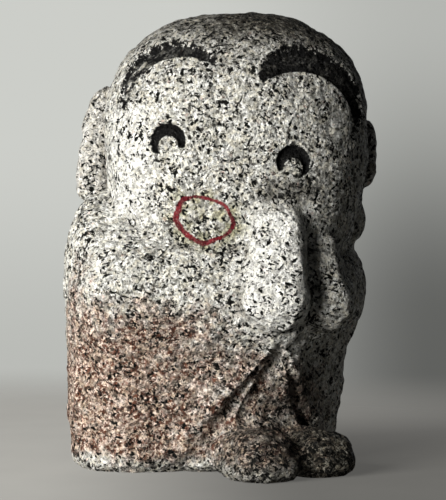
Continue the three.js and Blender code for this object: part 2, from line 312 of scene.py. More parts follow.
def opening_cut(points):
    """How deep the robe is cut back between the sleeves: lip, crease, crest and valley."""
    x, y, z = points.T
    opening = OPENING_TURN * np.maximum(1 - z / OPENING_TOP, 0) ** OPENING_CURVE
    middle_x, middle_y = middle_at(z)
    turn = np.degrees(np.abs(np.arctan2(x - middle_x, middle_y - y)))
    share = turn / np.maximum(opening, 1e-3)
    peak, end, height = HEM_LIP
    cut = -height * smooth(share, 1, peak) * (1 - smooth(share, peak, end))
    for (start, before), (stop, after) in itertools.pairwise(HEM_STEPS):
        cut += (after - before) * smooth(-share, -start, -stop)
    return cut * smooth(opening, 0, NARROWEST_TURN) * (opening > 0)


def unevenness(points):
    a, b, c = (points / SWELL_LENGTH).T
    long = np.sin(a + 0.42 * c + 0.6) * np.sin(1.08 * b - 0.48 * c + 1.9) * np.sin(0.93 * c + 0.4)
    short = np.sin(2.13 * a + 2) * np.sin(1.94 * b + c) * np.sin(1.78 * c + 1.1)
    return SWELL * (long + short / 2)


def stone(points):
    """Distance to the statue's surface before the face is cut, below zero inside the stone."""
    return joined_masses(points)[0]


def pair(points, form, shapes, size):
    """Two masses of one form, softly joined."""
    first, second = (form(points, shape) for shape in shapes)
    return soft_union(first, second, size)


def joined_masses(points):
    """The distance to the stone, and how deep in a crease between two masses the points lie."""
    face = face_frame(points)
    arms = pair(points, forearm, ELBOWS, ARM_BLEND)
    from_shoulder = np.linalg.norm(points - np.array(LEFT_SHOULDER["middle"]), axis=1)
    shoulder = from_shoulder - LEFT_SHOULDER["radius"]
    dressed = soft_union(soft_union(robe(points), arms, ARM_BLEND), shoulder, HAND_BLEND)
    dressed = dressed + opening_cut(points)
    hands = pair(points, hand, HANDS, PALM_BLEND)
    feet = pair(points, foot, FEET, TOE_BLEND)
    ears = np.minimum(ear(*face, EARS[0]), ear(*face, EARS[1]))
    round_head = skull(*face)
    head = soft_union(round_head, ears, EAR_BLEND)
    block = soft_union(dressed, head, CHIN_BLEND)
    held = soft_union(block, hands, HAND_BLEND)
    body = soft_union(held, feet, FOOT_BLEND)
    low = np.clip(BASE_ROUND - points[:, 2], 0, BASE_ROUND)
    body = body + unevenness(points) + BASE_ROUND - np.sqrt(BASE_ROUND ** 2 - low ** 2)
    meetings = (
        np.maximum(round_head, ears), np.maximum(dressed, head), np.maximum(block, hands),
        np.maximum(held, feet) + 1, np.maximum(hand(points, HANDS[0]), hand(points, HANDS[1])),
    )
    return body, 1 - smooth(np.minimum.reduce(meetings), 0.6, CREASE_REACH)


def slope(points, step=0.15):
    """Which way, and how fast, the distance grows."""
    sides = []
    for axis in np.eye(3) * step:
        sides.append((stone(points + axis) - stone(points - axis)) / (2 * step))
    return np.stack(sides, axis=1)


def ray_hits(starts, ways):
    """Walks in along rays from outside the block to the surface."""
    steps = 100
    step = FARTHEST / steps
    outer = np.full(len(starts), float(FARTHEST))
    walking = np.ones(len(starts), bool)
    for _ in range(steps):
        ahead = stone(starts + (outer - step)[:, None] * ways)
        walking &= ahead > 0
        if not walking.any():
            break
        outer = np.where(walking, outer - step, outer)
    inner = outer - step
    for _ in range(12):
        middle = (inner + outer) / 2
        outside = stone(starts + middle[:, None] * ways) > 0
        outer = np.where(outside, middle, outer)
        inner = np.where(outside, inner, middle)
    return starts + outer[:, None] * ways


def scrambled(cell, number):
    """A large whole number for each cell of a grid, the same one every time."""
    mixed = (cell[:, 0] * 73856093) ^ (cell[:, 1] * 19349663) ^ (cell[:, 2] * 83492791)
    mixed = mixed ^ (number * 2654435761)
    mixed = (mixed ^ (mixed >> 13)) * 1274126177
    return mixed ^ (mixed >> 16)


def lumps(points, size, number):
    """Smooth noise from -1 to 1, with lumps of about the size given."""
    cell = points / size
    base = np.floor(cell).astype(np.int64)
    part = cell - base
    part = part * part * (3 - 2 * part)
    total = np.zeros(len(points))
    for corner in itertools.product((0, 1), repeat=3):
        value = (scrambled(base + np.array(corner), number) & 0xFFFF) / 0x8000 - 1
        weight = np.prod(np.where(np.array(corner), part, 1 - part), axis=1)
        total += value * weight
    return total


def pecks(points, size, number):
    """Round dents left by a point tool: 1 in the middle of a dent, 0 between dents."""
    cell = points / size
    base = np.floor(cell).astype(np.int64)
    nearest = np.full(len(points), 9.0)
    for corner in itertools.product((-1, 0, 1), repeat=3):
        at = base + np.array(corner)
        mixed = scrambled(at, number)
        spot = at + np.stack([(mixed >> shift & 0xFF) / 0xFF for shift in (0, 8, 16)], axis=1)
        nearest = np.minimum(nearest, np.sum((cell - spot) ** 2, axis=1))
    return 1 - smooth(np.sqrt(nearest), 0.1, 0.75)


def layered(pattern, points, layers):
    """A pattern laid over itself in several sizes, each with its own depth and number."""
    return sum(depth * pattern(points, size, number) for size, depth, number in layers)


def roughness(points):
    """How deep the dressing bit, in peck depths: light on the face, and rougher below it."""
    x, y, z = points.T
    _, up, out = face_frame(points)
    face = smooth(out, 0, 25) * smooth(up, -62, -50)
    toes = smooth(-y, 40, 58) * (1 - smooth(z, 26, 50))
    fold = smooth(-y, 24, 40) * (1 - smooth(z, 56, 72))
    fold *= 1 - smooth(np.abs(x - FRONT_SHIFT), 30, 44)
    rougher = np.maximum(toes, DRESSING["fold"] * fold)
    share = mix(mix(1.0, DRESSING["face"], face), DRESSING["toes"], rougher)
    return (layered(pecks, points, DENTS) + layered(lumps, points, CHIPS)) * share - DRESSING["lift"]


def brow_field(across, up, brow):
    """Distance to a brow's outline, below zero inside it, and its shares of the way up and along."""
    dx, dy = across - brow["middle"][0], up - brow["middle"][1]
    reach = np.hypot(dx, dy)
    middle_turn = (brow["tail"] + brow["root"]) / 2
    turn = (np.degrees(np.arctan2(dy, dx)) - middle_turn + 180) % 360 - 180 + middle_turn
    along = (turn - brow["tail"]) / (brow["root"] - brow["tail"])
    inside = np.clip(along, 0, 1)
    width = brow["width"] * np.sin(np.pi * (1 - inside) ** brow["swells_at"]) ** BROW_ENDS
    above = reach - brow["radius"]
    arc = np.radians(abs(brow["root"] - brow["tail"])) * brow["radius"]
    past = (np.abs(along - 0.5) - 0.5) * arc
    within = np.maximum(-above, above - width)
    distance = np.where(past > 0, np.hypot(past, np.maximum(within, 0)), within)
    return distance, np.clip(above / np.maximum(width, 0.5), 0, 1), inside


def eye_field(across, up, eye):
    """Distance to the edge of an eye's crescent, below zero inside it."""
    dx, dy = across - eye["middle"][0], up - eye["middle"][1]
    outer = np.hypot(dx, dy) - eye["radius"]
    hollow = eye["hollow"] - np.hypot(dx, dy + eye["drop"])
    left = eye["radius"] * math.sin(math.radians(eye["to"]))
    right = eye["radius"] * math.sin(math.radians(eye["from"])) - eye["drop"] / 4
    return np.maximum(np.maximum(outer, hollow), np.where(dx < 0, left, right) - dy)


def mouth_field(across, up):
    """Distance to the middle of the mouth's stroke, below zero inside the ring, and to its edge."""
    dx, dy = across - MOUTH["middle"][0], up - MOUTH["middle"][1]
    turn = MOUTH["tilt"]
    x = (dx * math.cos(turn) + dy * math.sin(turn)) / MOUTH["wide"]
    y = (dy * math.cos(turn) - dx * math.sin(turn)) / MOUTH["tall"]
    reach = np.hypot(x, y)
    way = np.arctan2(y, x)
    wobble = 1 + 0.035 * np.sin(3 * way + 0.6) + 0.03 * np.sin(5 * way + 2.2) + 0.015 * np.sin(8 * way)
    distance = (reach / wobble - 1) * (MOUTH["wide"] + MOUTH["tall"]) / 2
    thick = smooth(np.cos(way - MOUTH["thick_towards"]), -0.4, 0.9)
    return distance, np.abs(distance) - mix(MOUTH["thin"], MOUTH["thick"], thick)


def face_fields(points):
    """The brows, eyes and mouth as distances at each point of the uncut surface."""
    across, up, out = face_frame(points)
    off = np.where(out > CUT_START, 0, FAR_FROM_FACE)
    first, second = (brow_field(across, up, brow) for brow in BROWS)
    nearer = first[0] < second[0]
    brow, rise, along = (np.where(nearer, a, b) for a, b in zip(first, second))
    kept = np.where(nearer, smooth(along, *BROW_WEAR_ALONG), 1)
    ends = np.maximum(smooth(along, 0.74, 0.92), smooth(-along, -0.08, 0.0))
    eye = np.minimum(*(eye_field(across, up, shape) for shape in EYES))
    mouth, stroke = mouth_field(across, up)
    fields = {"brow": brow, "eye": eye, "mouth": mouth, "stroke": stroke}
    for name, distance in fields.items():
        fields[name] = np.clip(distance + off, -FAR_FROM_FACE, FAR_FROM_FACE)
    return {
        **fields, "brow_rise": rise, "brow_root": smooth(along, 0.8, 0.98),
        "brow_worn": mix(*BROW_WEAR, kept),
        "brow_torn": np.maximum(rise, ends),
    }


def stain_field(points):
    """Where rust has crept up the lower robe: 0 for clean stone to 1 for the full stain."""
    x, y, z = points.T
    across = x * math.cos(SLEEVE_TURN) - y * math.sin(SLEEVE_TURN)
    back = smooth(y, *STAIN["back"])
    drift = layered(lumps, points, STAIN_DRIFT) + back * layered(lumps, points, BACK_DRIFT)
    top = STAIN["top"] - STAIN["fall"] * (across - STAIN["fall_from"]) - STAIN["back_fall"] * back
    up = 1 - smooth(z + drift, top - STAIN["below"], top + STAIN["above"])
    waist = smooth(z, *STAIN["waist"])
    start, end = (mix(low, high, waist) for low, high in zip(STAIN["side_low"], STAIN["side_high"]))
    side = 1 - smooth(across + drift, start, end)
    foot = mix(STAIN["foot"], 1, smooth(z + STAIN["foot_drift"] * drift, *STAIN["foot_band"]))
    return up * side * foot * mix(1, STAIN["thin"], smooth(across, *STAIN["thin_from"]))


def ear_side(points, start, front):
    """The first ear, from where it starts across the head to where it ends in front."""
    across, _, out = face_frame(points)
    side = smooth(-across, start, 66) * (1 - smooth(out, front, front + 10))
    return side * smooth(points[:, 2], 136, 142)


def grime_and_shade_field(points, facing_up, crease):
    """Grime and painted shade: grime on the crown with painted shade away from the light, grime and
    painted shade on the toes, and painted shade in the folds, the creases and on the second eye's
    cheek.
    """
    x, y, z = points.T
    across, up, out = face_frame(points)
    # Crown: grime on the top, and painted shade that darkens it most on the side away from the light
    slant, flat = smooth(facing_up, *CROWN_GRIME_AND_SHADE["slant"]), smooth(facing_up, *CROWN_GRIME_AND_SHADE["flat"])
    crown = smooth(z, *CROWN_GRIME_AND_SHADE["height"]) * (0.35 * slant + 0.65 * flat)
    crown *= mix(0.55, 1, smooth(across, *CROWN_GRIME_AND_SHADE["across"]))
    # Toes: grime and painted shade, deepest on the second foot, which is turned from the light
    toes = smooth(-y, *TOE_GRIME_AND_SHADE["out"]) * (1 - smooth(z, *TOE_GRIME_AND_SHADE["up"]))
    toes *= mix(TOE_GRIME_AND_SHADE["least"], 1, smooth(x + 8 * lumps(points, 12, 16), *TOE_GRIME_AND_SHADE["across"]))
    # Painted shade in the robe's folds, where the valley between the sleeves lies in shadow
    folds = FOLD_SHADE["share"] * smooth(opening_cut(points), *FOLD_SHADE["cut"])
    patchy = smooth(lumps(points, 9, 13), -0.5, 0.5)
    # Painted shade in the creases where two masses meet, patchy
    corners = crease * mix(*CREASE_SHADE, patchy)
    # Painted shade on the second eye's cheek, where it turns from the light above the hands
    (at_x, at_y), (wide, tall) = CHEEK_SHADE["middle"], CHEEK_SHADE["reach"]
    reach = np.hypot((across - at_x) / wide, (up - at_y) / tall) + 0.35 * lumps(points, 7, 15)
    cheek = 1 - smooth(reach, *CHEEK_SHADE["fade"])
    cheek *= CHEEK_SHADE["share"] * smooth(out, *CHEEK_SHADE["out"])
    lobe = EAR_GRIME * ear_side(points, 60, 4)
    return np.maximum.reduce([crown, toes, folds, corners, cheek, lobe])


def painted_light_field(points, grime_and_shade):
    """Painted light: paler stone where the light falls on the first hand and the rim of the first
    cheek, and paler at the first ear.
    """
    across, up, _ = face_frame(points)
    lit_hand = 1 - smooth(hand(points, HANDS[0]), *HAND_LIGHT["reach"])
    lit_hand *= HAND_LIGHT["share"] * smooth(-across, *HAND_LIGHT["across"])
    rim = smooth(-across, *CHEEK_RIM_LIGHT["across"]) * (1 - smooth(-across, *CHEEK_RIM_LIGHT["edge"]))
    rim *= smooth(-up, *CHEEK_RIM_LIGHT["down"]) * smooth(up, *CHEEK_RIM_LIGHT["up"])
    ear_top = EAR_TOP_PALER * ear_side(points, 58, 6)
    return np.maximum.reduce([lit_hand, CHEEK_RIM_LIGHT["share"] * rim, ear_top]) * (1 - grime_and_shade)


# The part's own height over the carving's
SCALE = (CAD_BOX[1].z - CAD_BOX[0].z) / (HEIGHT / 1000)


def to_carver(metres):
    return metres * 1000 / SCALE - AXIS


def to_frame(millimetres):
    return (millimetres + AXIS) * SCALE / 1000


def mesh_points(mesh):
    flat = np.empty(len(mesh.vertices) * 3, np.float32)
    mesh.vertices.foreach_get("co", flat)
    return flat.reshape(-1, 3).astype(float)


def set_points(mesh, points):
    mesh.vertices.foreach_set("co", points.astype(np.float32).ravel())
    mesh.update()


def deselect_all():
    bpy.ops.object.select_all(action="DESELECT")


def lay_skin(piece):
    """Moves a ball's vertices out to the stone: rows of rays, from the crown down to the floor."""
    ball = mesh_points(piece.data)
    turn = np.arctan2(ball[:, 0], -ball[:, 1])
    row = np.rint(np.degrees(np.arccos(np.clip(ball[:, 2], -1, 1))) / 180 * SKIN_ROWS)
    crown = row <= CROWN_ROWS
    rise = np.where(crown, np.pi / 2 * (1 - row / CROWN_ROWS), 0)
    down = (row - CROWN_ROWS) / (SKIN_ROWS - 1 - CROWN_ROWS)
    height = np.where(crown, HEAD[2], np.maximum(HEAD[2] * (1 - down), 0))
    middle_x, middle_y = middle_at(height)
    starts = np.stack([middle_x, middle_y, height], axis=1)
    ways = np.stack([np.sin(turn) * np.cos(rise), -np.cos(turn) * np.cos(rise), np.sin(rise)], axis=1)
    hits = ray_hits(starts, ways)
    hits[row >= SKIN_ROWS] = starts[row >= SKIN_ROWS]
    set_points(piece.data, to_frame(hits))


def settle(points, rounds=5):
    """Slides points along the slope onto the uncut surface, and keeps the flat of the base."""
    points = points.copy()
    for _ in range(rounds):
        away = stone(points)
        way = slope(points)
        size = np.maximum(np.sum(way * way, axis=1), 0.05)
        move = way * np.clip(away / size, -1.5, 1.5)[:, None]
        under = (points[:, 2] < 1.2) & (away < -0.8)
        move[under] = 0
        points -= move
        points[under, 2] = 0
        points[:, 2] = np.maximum(points[:, 2], 0)
    return points


def refine_face(piece):
    """Splits the faces that lie near a line on the face."""
    fields = face_fields(to_carver(mesh_points(piece.data)))
    nearest = np.minimum.reduce([fields["brow"], fields["eye"], np.abs(fields["mouth"])])
    near = nearest < FINE_REACH
    deselect_all()
    piece.select_set(True)
    bpy.context.view_layer.objects.active = piece
    bpy.ops.object.mode_set(mode="EDIT")
    bpy.ops.mesh.select_mode(type="FACE")
    shaped = bmesh.from_edit_mesh(piece.data)
    for face in shaped.faces:
        face.select_set(all(near[vertex.index] for vertex in face.verts))
    bmesh.update_edit_mesh(piece.data)
    bpy.ops.mesh.subdivide(number_cuts=1)
    bpy.ops.object.mode_set(mode="OBJECT")


def length(name, description, default, least, greatest):
    return FloatProperty(
        name=name, description=description, default=default, min=least, max=greatest,
        unit="LENGTH", precision=5,
    )


def stone_colour(name, description, default):
    return FloatVectorProperty(
        name=name, description=description, subtype="COLOR", size=3, min=0, max=1, default=default,
    )


def strength(name, description, default, unit="NONE"):
    return FloatProperty(name=name, description=description, default=default, min=0, unit=unit)


class StatueSizes(bpy.types.PropertyGroup):
    mesh_step: length("Mesh step", "Size of the squares in the stone's skin", 0.00136, 0.001, 0.01)
    brow_depth: length("Brow depth", "How deep the brows' crisp lower edge is cut", 0.0038, 0, 0.006)
    eye_depth: length("Eye depth", "How deep the eyes are cut", 0.0022, 0, 0.004)
    peck_depth: length("Peck depth", "How deep the point tool bit", 0.0008, 0, 0.002)
    grain: length("Grain", "Size of a crystal in the granite", 0.0015, 0.0005, 0.005)


class StatueColours(bpy.types.PropertyGroup):
    feldspar: stone_colour("Feldspar", "The palest crystals", (0.93, 0.925, 0.885))
    cream: stone_colour("Cream feldspar", "The warmer pale crystals", (0.76, 0.73, 0.64))
    quartz: stone_colour("Quartz", "The grey crystals", (0.50, 0.50, 0.47))
    smoky: stone_colour("Smoky quartz", "The darker grey crystals", (0.10, 0.096, 0.085))
    blush: stone_colour("Blush", "The few pink crystals, and the thin stain", (1.0, 0.81, 0.72))
    biotite: stone_colour("Biotite", "The black flecks", (0.005, 0.005, 0.004))
    rust: stone_colour("Rust stain", "What the full stain leaves of the stone", (0.17, 0.068, 0.043))
    # Dust and grime are tints that also paint shade, wherever the grime-and-shade mask lies
    dust_and_shade: stone_colour("Dust", "What thin grime leaves of the stone", (0.30, 0.288, 0.26))
    grime_and_shade: stone_colour("Grime", "What thick grime leaves of the stone", (0.075, 0.065, 0.052))
    lichen: stone_colour("Lichen", "The greenish yellow beside the mouth", (0.55, 0.53, 0.33))
    ink: stone_colour("Black paint", "The paint in the brows and eyes", (0.006, 0.006, 0.006))
    red: stone_colour("Red paint", "The paint of the mouth", (0.175, 0.013, 0.019))
    brick: stone_colour("Dark red paint", "The mouth's paint where it is thick", (0.10, 0.009, 0.013))


class StageSettings(bpy.types.PropertyGroup):
    floor: stone_colour("Floor", "Colour of the plain floor", (0.12, 0.118, 0.110))
    glow: stone_colour("Floor glow", "Light sent back by the pale floor", (0.245, 0.240, 0.225))
    backdrop: stone_colour("Backdrop", "Colour of the plain backdrop", (0.56, 0.57, 0.54))
    key: strength("Key light", "Strength of the window light", 30.5, "POWER")
    back: strength("Back light", "Strength of the light from behind", 0.9)
    fill: strength("Fill", "Strength of the light from all round", 0.025)


class Weave:
    """Adds shader nodes to a tree and joins them up."""

    def __init__(self, tree):
        self.tree = tree
        tree.nodes.clear()

    def node(self, kind, **settings):
        made = self.tree.nodes.new(kind)
        inputs = settings.pop("inputs", {})
        for name, value in settings.items():
            setattr(made, name, value)
        for name, value in inputs.items():
            self.put(made.inputs[name], value)
        return made

    def put(self, socket, value):
        if isinstance(value, bpy.types.NodeSocket):
            self.tree.links.new(value, socket)
        elif socket.type == "RGBA" and len(value) == 3:
            socket.default_value = (*value, 1)
        else:
            socket.default_value = value

    def maths(self, operation, *values):
        made = self.node("ShaderNodeMath", operation=operation)
        for place, value in enumerate(values):
            self.put(made.inputs[place], value)
        return made.outputs[0]

    def plus(self, first, second):
        return self.maths("ADD", first, second)

    def minus(self, first, second):
        return self.maths("SUBTRACT", first, second)

    def times(self, first, second):
        return self.maths("MULTIPLY", first, second)

    def most(self, first, second):
        return self.maths("MAXIMUM", first, second)

    def vector(self, operation, first, second=None):
        made = self.node("ShaderNodeVectorMath", operation=operation)
        self.put(made.inputs[0], first)
        if second is not None:
            self.put(made.inputs["Scale" if operation == "SCALE" else 1], second)
        return made.outputs["Value" if operation in ("LENGTH", "DOT_PRODUCT") else "Vector"]

    def ramp(self, value, low, high, to_low=0.0, to_high=1.0, soft=True):
        made = self.node("ShaderNodeMapRange", interpolation_type="SMOOTHSTEP" if soft else "LINEAR")
        for place, entry in enumerate((value, low, high, to_low, to_high)):
            self.put(made.inputs[place], entry)
        return made.outputs[0]

    def mix(self, share, first, second, blend="MIX"):
        made = self.node("ShaderNodeMix", data_type="RGBA", blend_type=blend)
        self.put(made.inputs[0], share)
        self.put(made.inputs[6], first)
        self.put(made.inputs[7], second)
        return made.outputs[2]

    def scaled(self, first, second):
        """One colour times another."""
        return self.mix(1.0, first, second, "MULTIPLY")

    def tinted(self, share, body, tint):
        """The body's colour, with a share of it multiplied by the tint."""
        return self.mix(share, body, self.scaled(body, tint))

    def blended(self, share, first, second):
        """One shader fading into another."""
        made = self.node("ShaderNodeMixShader")
        for place, value in enumerate((share, first, second)):
            self.put(made.inputs[place], value)
        return made.outputs[0]

    def noise(self, place, size, detail=2.0, rough=0.5, colour=False):
        made = self.node("ShaderNodeTexNoise", inputs={
            "Vector": place, "Scale": 1 / size, "Detail": detail, "Roughness": rough,
        })
        return made.outputs["Color" if colour else "Fac"]

    def cells(self, place, size):
        return self.node("ShaderNodeTexVoronoi", feature="F1", inputs={
            "Vector": place, "Scale": 1 / size, "Randomness": 1.0,
        }).outputs

    def numbers(self, colour):
        """The three random numbers in a crystal's colour."""
        return self.node("ShaderNodeSeparateColor", inputs={"Color": colour}).outputs

    def pushed(self, place, colour, amount):
        """The place, pushed the way a random colour points."""
        way = self.vector("SUBTRACT", colour, (0.5, 0.5, 0.5))
        return self.vector("ADD", place, self.vector("SCALE", way, amount))

    def shaken(self, place, size, amount):
        """The place, moved about by noise, so that crystals lose their straight sides."""
        return self.pushed(place, self.noise(place, size, colour=True), amount)

    def drawn(self, place, way, stretch):
        """The place, squeezed along one way, so that marks come out long that way."""
        turn = Vector((0, 0, 1)).rotation_difference(Vector(way).normalized()).to_euler()
        return self.node("ShaderNodeMapping", vector_type="TEXTURE", inputs={
            "Vector": place, "Rotation": turn, "Scale": (1.0, 1.0, stretch),
        }).outputs[0]

    def along(self, place, way):
        """How far the place lies along one way."""
        return self.vector("DOT_PRODUCT", place, tuple(way))

    def attribute(self, name):
        return self.node("ShaderNodeAttribute", attribute_name=name).outputs["Fac"]


WHITE = (1.0, 1.0, 1.0)
SPLIT_WAY = (0.61, -0.35, -0.71)  # the way the granite likes to split

# The ragged flecks: size in grains, way, stretch, and their limits where rare and where common
FLECKS = (
    (2.3, SPLIT_WAY, 1.5, 0.720, 0.625),
    (1.7, (0.50, -0.10, 0.80), 2.1, 0.700, 0.605),
    (1.2, (0.80, -0.55, -0.25), 1.8, 0.685, 0.590),
    (0.8, (0.10, -0.95, 0.30), 1.6, 0.665, 0.580),
)
# How large the granite's other patterns are, and how high its surface stands, in metres
HAZE_SIZE = 0.0042
PATCH_SIZE = 0.006
CROWD_SIZE = 0.010
EDGE_SIZE = 0.0017
FRAY_SIZE = 0.0042
WEAR_SIZE = 0.0022
RELIEF = 0.0036
FACET_TILT = 1.3  # how far a crystal leans out of the surface


class GraniteWeave(Weave):
    """The granite's layers, each laid over the one before."""

    def __init__(self, tree, sizes, colours):
        super().__init__(tree)
        self.colours = colours
        self.grain = grain = sizes.grain
        self.place = self.node("ShaderNodeTexCoord").outputs["Object"]
        self.jumbled = self.shaken(self.place, grain * 0.8, grain * 1.3)
        self.crystals = self.cells(self.jumbled, grain)
        self.number = self.numbers(self.crystals["Color"])
        self.fine = self.noise(self.place, grain * 0.6, detail=3.0, rough=0.65)
        self.haze = self.noise(self.place, HAZE_SIZE, detail=3.0, rough=0.6)
        self.patchy = self.noise(self.place, PATCH_SIZE, detail=4.0, rough=0.6)
        pits = self.noise(self.jumbled, grain * 1.3, detail=3.0, rough=0.68)
        self.pitted = self.ramp(pits, 0.44, 0.53)
        self.stain = self.attribute("stain")
        self.grime_and_shade = self.attribute("grime_and_shade")
        self.painted_light = self.attribute("painted_light")

    def centred(self, size, detail, rough):
        """Noise about zero."""
        return self.minus(self.noise(self.place, size, detail=detail, rough=rough), 0.5)

    def pale_crystals(self):
        """Pale crystals, each a little lighter or darker, with hairlines between them."""
        colours = self.colours
        kinds = self.node("ShaderNodeValToRGB")
        bands = kinds.color_ramp
        stops = [
            (0.0, colours.smoky), (0.06, colours.smoky), (0.13, colours.quartz),
            (0.26, colours.quartz), (0.34, colours.cream), (0.50, colours.cream),
            (0.60, colours.feldspar), (0.985, colours.feldspar), (1.0, colours.blush),
        ]
        while len(bands.elements) < len(stops):
            bands.elements.new(1.0)
        for element, (at, colour) in zip(bands.elements, stops):
            element.position = at
            element.color = (*colour, 1)
        self.put(kinds.inputs[0], self.number[0])
        clouded = self.mix(self.ramp(self.fine, 0.34, 0.56), (0.56, 0.555, 0.53), WHITE)
        hazy = self.mix(self.ramp(self.haze, 0.36, 0.60), (0.64, 0.63, 0.595), WHITE)
        body = self.scaled(kinds.outputs[0], self.scaled(clouded, hazy))
        split = self.drawn(self.place, SPLIT_WAY, 1.8)
        ridge = self.noise(split, self.grain * 2.1, detail=4.0, rough=0.72)
        line = self.ramp(self.maths("ABSOLUTE", self.minus(ridge, 0.5)), 0.022, 0.0)
        broken = self.ramp(self.noise(self.place, self.grain * 3.5), 0.50, 0.60)
        return self.mix(self.times(line, broken), body, colours.smoky)

    def rusted(self, body):
        """Rust: brown in the pits between the grains, and pink on the grains."""
        soaked = self.times(self.pitted, self.ramp(self.patchy, 0.34, 0.58, 0.5, 1.0))
        rust = self.mix(soaked, self.colours.blush, self.colours.rust)
        stained = self.ramp(self.plus(self.stain, self.times(self.patchy, 1.8)), 0.95, 1.85)
        stained = self.times(stained, self.ramp(self.stain, 0.0, 0.2))
        body = self.tinted(stained, body, rust)
        return self.tinted(self.times(self.attribute("lobe"), 0.18), body, rust)

    def weathered(self, body):
        """Stone made paler as painted light on the lit side, grime and painted shade tinted in, and
        lichen beside the mouth.
        """
        # Painted light: the lit places made paler, towards the feldspar's colour
        painted_light = self.times(self.painted_light, self.ramp(self.haze, 0.34, 0.52, 0.35, 0.75))
        body = self.mix(painted_light, body, self.colours.feldspar)
        # Grime and painted shade: the mask darkens the stone, deepest in its pits
        shade_and_grime_tint = self.mix(self.pitted, self.colours.dust_and_shade, self.colours.grime_and_shade)
        body = self.tinted(self.grime_and_shade, body, shade_and_grime_tint)
        beside = self.ramp(self.attribute("mouth"), 9.0, 1.0)
        green = self.times(beside, self.ramp(self.patchy, 0.42, 0.60, 0.0, 0.75))
        return self.tinted(green, body, self.colours.lichen)

    def black_flecks(self):
        """Where the black flecks are: ragged ones in several sizes, thick here and thin there."""
        # More black flecks where grime and painted shade lie, fewer on the stain and under the painted
        # light
        crowding = self.plus(self.times(self.stain, -0.04), self.times(self.grime_and_shade, 0.15))
        crowding = self.minus(crowding, self.times(self.painted_light, 0.03))
        crowd = self.plus(self.noise(self.place, CROWD_SIZE, detail=3.0, rough=0.65), crowding)
        flakes = self.cells(self.drawn(self.jumbled, SPLIT_WAY, 1.6), self.grain * 1.1)
        chance = self.numbers(flakes["Color"])[1]
        chosen = self.maths("LESS_THAN", chance, self.ramp(crowd, 0.34, 0.70, 0.02, 0.20))
        black = self.times(chosen, self.ramp(flakes["Distance"], 0.42, 0.56, 1.0, 0.0))
        for size, way, stretch, rare, common in FLECKS:
            patch = self.noise(self.drawn(self.place, way, stretch), self.grain * size, rough=0.6)
            limit = self.ramp(crowd, 0.30, 0.70, rare, common)
            black = self.most(black, self.ramp(self.minus(patch, limit), 0.0, 0.010))
        return black

    def ink_share(self, ragged):
        """Black paint: brows torn above and crisp below, the first one worn, and the eyes."""
        torn = self.attribute("brow_torn")
        frayed = self.centred(FRAY_SIZE, 5.0, 0.75)
        edge = self.times(ragged, self.ramp(torn, 0.1, 0.8, 1.5, 5.5))
        edge = self.plus(edge, self.times(frayed, self.ramp(torn, 0.35, 0.9, 0.0, 16.0)))
        brows = self.ramp(self.plus(self.attribute("brow"), edge), 0.25, -0.25)
        rise = self.attribute("brow_rise")
        middle = self.times(self.ramp(rise, 0.12, 0.35), self.ramp(rise, 0.85, 0.6))
        strokes = self.drawn(self.place, (0.8, -0.46, 0.38), 3.0)
        wear = self.ramp(self.noise(strokes, WEAR_SIZE, detail=4.0, rough=0.65), 0.46, 0.60)
        worn = self.times(self.times(wear, middle), self.attribute("brow_worn"))
        brows = self.times(brows, self.minus(1.0, worn))
        eyes = self.ramp(self.plus(self.attribute("eye"), self.times(ragged, 2.6)), 0.25, -0.15)
        return self.most(brows, eyes)

    def ring_share(self, ragged):
        """The red ring of the mouth, thin where the brush ran dry."""
        edge = self.plus(self.attribute("stroke"), self.times(ragged, 2.2))
        return self.times(self.ramp(edge, 0.3, -0.3), self.ramp(self.fine, 0.28, 0.50, 0.55, 1.0))

    def painted(self, body, ink, ring):
        """The black and the red laid over the stone, both chipped with its grain."""
        chipped = self.ramp(self.fine, 0.62, 0.74, 0.99, 0.80)
        body = self.mix(self.times(ink, chipped), body, self.colours.ink)
        red = self.mix(self.ramp(self.patchy, 0.42, 0.58), self.colours.red, self.colours.brick)
        return self.mix(ring, body, red)

    def broken_surface(self, black):
        """Broken crystals: each turns its own way, among pits and proud grains."""
        pits = self.noise(self.place, self.grain * 1.9, detail=4.0, rough=0.62)
        height = self.plus(pits, self.times(self.number[1], 0.45))
        height = self.minus(height, self.times(black, 0.25))
        normal = self.node("ShaderNodeNewGeometry").outputs["Normal"]
        turned = self.pushed(normal, self.crystals["Color"], FACET_TILT)
        return self.node("ShaderNodeBump", inputs={
            "Strength": 1.0, "Distance": RELIEF, "Height": height,
            "Normal": self.vector("NORMALIZE", turned),
        }).outputs[0]


def granite_material(sizes, colours):
    """Speckled granite with its stain, and the worn paint of the brows, eyes and mouth."""
    material = bpy.data.materials.new("speckled_granite")
    material.use_nodes = True
    weave = GraniteWeave(material.node_tree, sizes, colours)
    body = weave.weathered(weave.rusted(weave.pale_crystals()))
    black = weave.black_flecks()
    body = weave.mix(black, body, colours.biotite)
    ragged = weave.centred(EDGE_SIZE, 4.0, 0.7)
    ink = weave.ink_share(ragged)
    body = weave.painted(body, ink, weave.ring_share(ragged))
    dull = weave.most(weave.times(black, 0.7), ink)
    shader = weave.node("ShaderNodeBsdfPrincipled", inputs={
        "Base Color": body,
        "Roughness": weave.ramp(weave.number[2], 0.0, 1.0, 0.6, 0.95, soft=False),
        "Normal": weave.broken_surface(black),
        "Specular IOR Level": weave.ramp(dull, 0.0, 1.0, 0.2, 0.03, soft=False),
    })
    weave.node("ShaderNodeOutputMaterial", inputs={"Surface": shader.outputs[0]})
    return material


